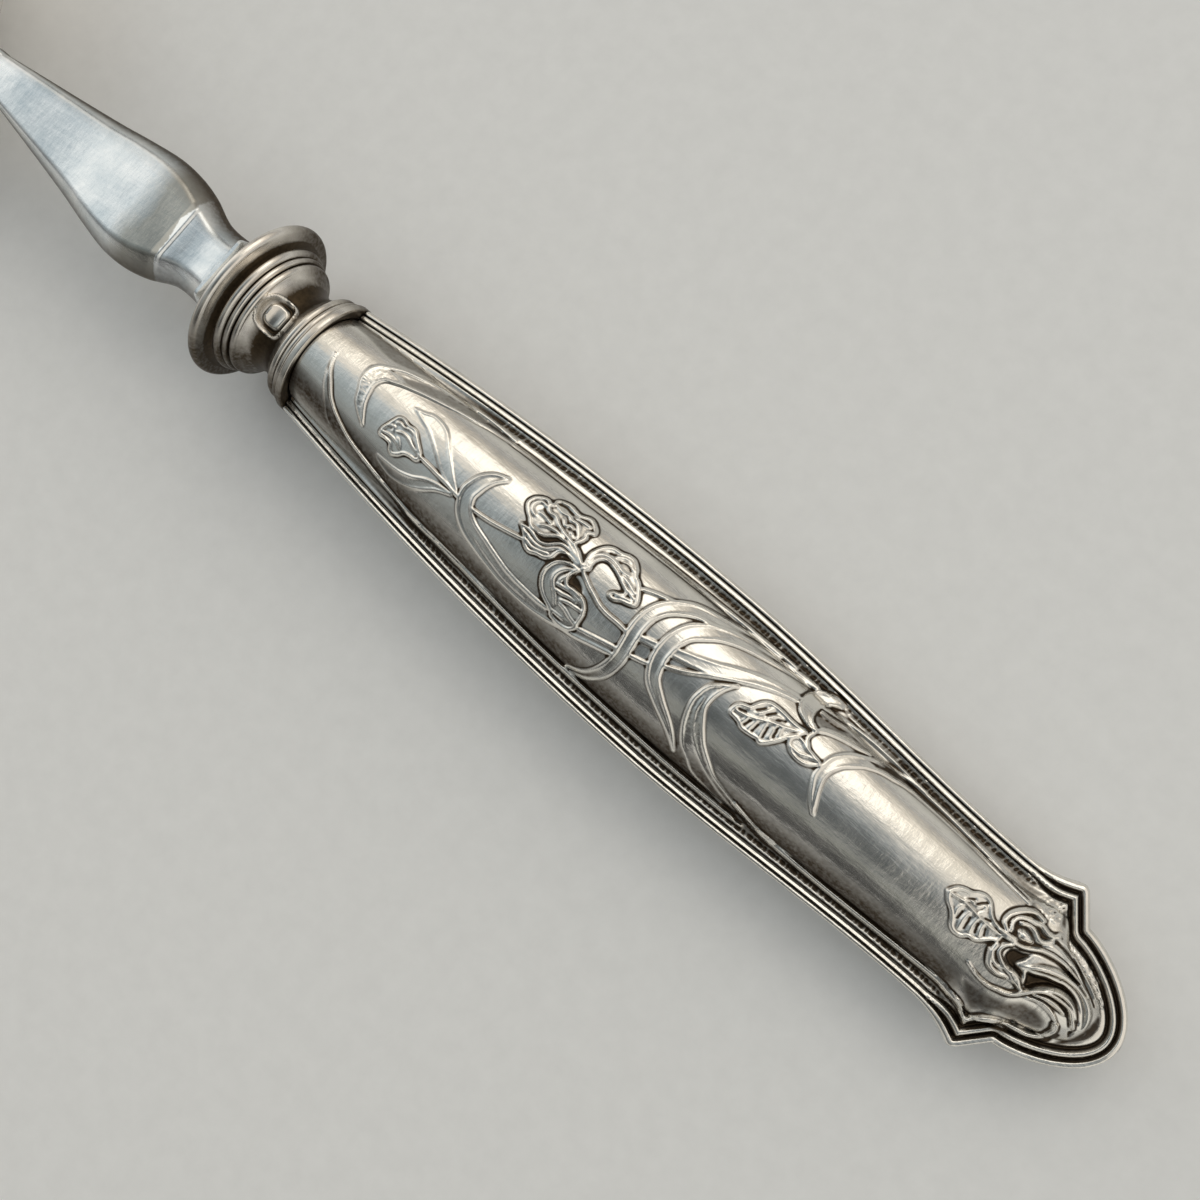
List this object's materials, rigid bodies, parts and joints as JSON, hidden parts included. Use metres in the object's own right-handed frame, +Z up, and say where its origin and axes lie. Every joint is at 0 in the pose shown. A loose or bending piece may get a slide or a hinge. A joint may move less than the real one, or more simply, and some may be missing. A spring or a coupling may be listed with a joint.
{
  "type": "sauce spoon",
  "caption": "Serving spoon with an oval bowl, six-sided shank, moulded ferrule and a filled, relief-struck metal handle with eared end, for sauce at table.",
  "frame": {"origin": "centre of the spoon's box, on the surface that it lies on", "axes": "+X along the spoon towards the handle's end, bowl at -X; +Y across, to the left when looking from the bowl's tip to the handle's end; +Z up, out of the bowl"},
  "size_m": [0.2051, 0.044, 0.018],
  "materials": {
    "bowl_metal": "polished silver, lightly worn",
    "shank_metal": "planished silver, satin flats",
    "ferrule_metal": "polished silver with tarnished grooves",
    "handle_metal": "die-struck silver with tarnished grooves",
    "filling": "dull resin cement"
  },
  "bodies": {
    "root": {"bowl": "bowl_metal", "shank": "shank_metal", "bolster_plate": "ferrule_metal", "ferrule": "ferrule_metal", "handle_front_shell": "handle_metal", "handle_back_shell": "handle_metal", "cement_filling": "filling"}
  },
  "joints": []
}
